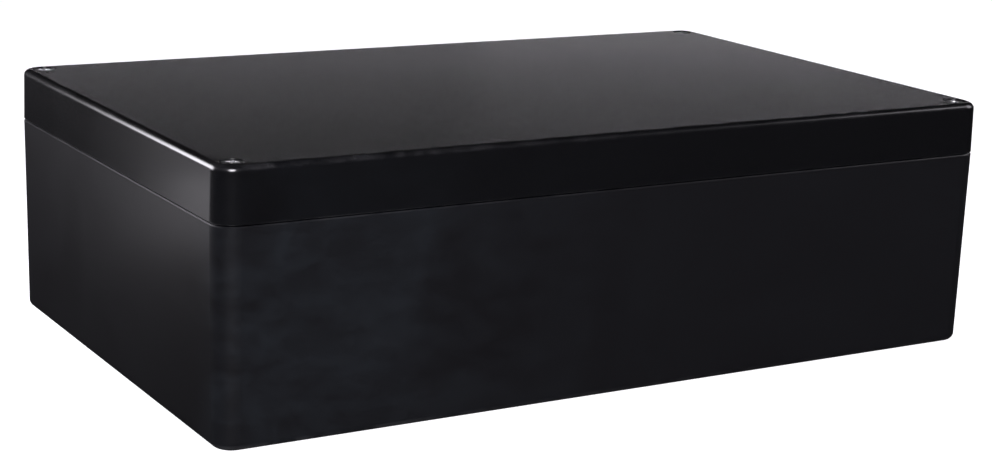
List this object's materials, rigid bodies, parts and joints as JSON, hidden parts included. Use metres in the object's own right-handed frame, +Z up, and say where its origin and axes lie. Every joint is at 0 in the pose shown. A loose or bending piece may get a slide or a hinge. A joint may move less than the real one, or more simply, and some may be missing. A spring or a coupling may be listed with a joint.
{
  "type": "screw-lid wall enclosure",
  "caption": "Flat rectangular moulded box for wiring, with a deep sealed lid held by captive corner screws and wall-fixing wells outside the seal.",
  "frame": {"origin": "middle of the underside", "axes": "+X along the length, +Y to the rear long side, +Z up through the lid"},
  "size_m": [0.4, 0.25, 0.12],
  "materials": {
    "base_moulding": "semi-matte black, moulded glass-reinforced polyester",
    "lid_moulding": "semi-matte black, moulded glass-reinforced polyester",
    "seal_rubber": "dark grey chloroprene, matt",
    "screw_steel": "stainless steel, turned and dulled",
    "retainer_nylon": "natural nylon",
    "insert_brass": "turned brass"
  },
  "bodies": {
    "base": {"base_shell": "base_moulding", "lid_insert_front_left": "insert_brass", "lid_insert_front_right": "insert_brass", "lid_insert_rear_left": "insert_brass", "lid_insert_rear_right": "insert_brass", "plate_insert_front_left": "insert_brass", "plate_insert_front_centre": "insert_brass", "plate_insert_front_right": "insert_brass", "plate_insert_rear_left": "insert_brass", "plate_insert_rear_centre": "insert_brass", "plate_insert_rear_right": "insert_brass", "rail_insert_left": "insert_brass", "rail_insert_right": "insert_brass"},
    "lid": {"lid_shell": "lid_moulding", "lid_seal": "seal_rubber"},
    "retainer_front_left": {"screw_retainer_front_left": "retainer_nylon"},
    "screw_front_left": {"lid_screw_front_left": "screw_steel"},
    "retainer_front_right": {"screw_retainer_front_right": "retainer_nylon"},
    "screw_front_right": {"lid_screw_front_right": "screw_steel"},
    "retainer_rear_left": {"screw_retainer_rear_left": "retainer_nylon"},
    "screw_rear_left": {"lid_screw_rear_left": "screw_steel"},
    "retainer_rear_right": {"screw_retainer_rear_right": "retainer_nylon"},
    "screw_rear_right": {"lid_screw_rear_right": "screw_steel"}
  },
  "joints": [
    {"name": "lid_lift", "type": "slide", "parent": "base", "child": "lid", "axis": [0, 0, 1], "range_m": [0, 0.2]},
    {"name": "screw_rise_front_left", "type": "slide", "parent": "lid", "child": "retainer_front_left", "axis": [0, 0, 1], "range_m": [0, 0.011]},
    {"name": "screw_turn_front_left", "type": "hinge", "parent": "retainer_front_left", "child": "screw_front_left", "pos_m": [-0.19, -0.115, 0.1], "axis": [0, 0, 1], "range_deg": [0, 3960]},
    {"name": "screw_rise_front_right", "type": "slide", "parent": "lid", "child": "retainer_front_right", "axis": [0, 0, 1], "range_m": [0, 0.011]},
    {"name": "screw_turn_front_right", "type": "hinge", "parent": "retainer_front_right", "child": "screw_front_right", "pos_m": [0.19, -0.115, 0.1], "axis": [0, 0, 1], "range_deg": [0, 3960]},
    {"name": "screw_rise_rear_left", "type": "slide", "parent": "lid", "child": "retainer_rear_left", "axis": [0, 0, 1], "range_m": [0, 0.011]},
    {"name": "screw_turn_rear_left", "type": "hinge", "parent": "retainer_rear_left", "child": "screw_rear_left", "pos_m": [-0.19, 0.115, 0.1], "axis": [0, 0, 1], "range_deg": [0, 3960]},
    {"name": "screw_rise_rear_right", "type": "slide", "parent": "lid", "child": "retainer_rear_right", "axis": [0, 0, 1], "range_m": [0, 0.011]},
    {"name": "screw_turn_rear_right", "type": "hinge", "parent": "retainer_rear_right", "child": "screw_rear_right", "pos_m": [0.19, 0.115, 0.1], "axis": [0, 0, 1], "range_deg": [0, 3960]}
  ],
  "couplings": [
    {"joint": "screw_turn_front_left", "follows": "screw_rise_front_left", "rad_per_m": 6283.2},
    {"joint": "screw_turn_front_right", "follows": "screw_rise_front_right", "rad_per_m": 6283.2},
    {"joint": "screw_turn_rear_left", "follows": "screw_rise_rear_left", "rad_per_m": 6283.2},
    {"joint": "screw_turn_rear_right", "follows": "screw_rise_rear_right", "rad_per_m": 6283.2}
  ]
}
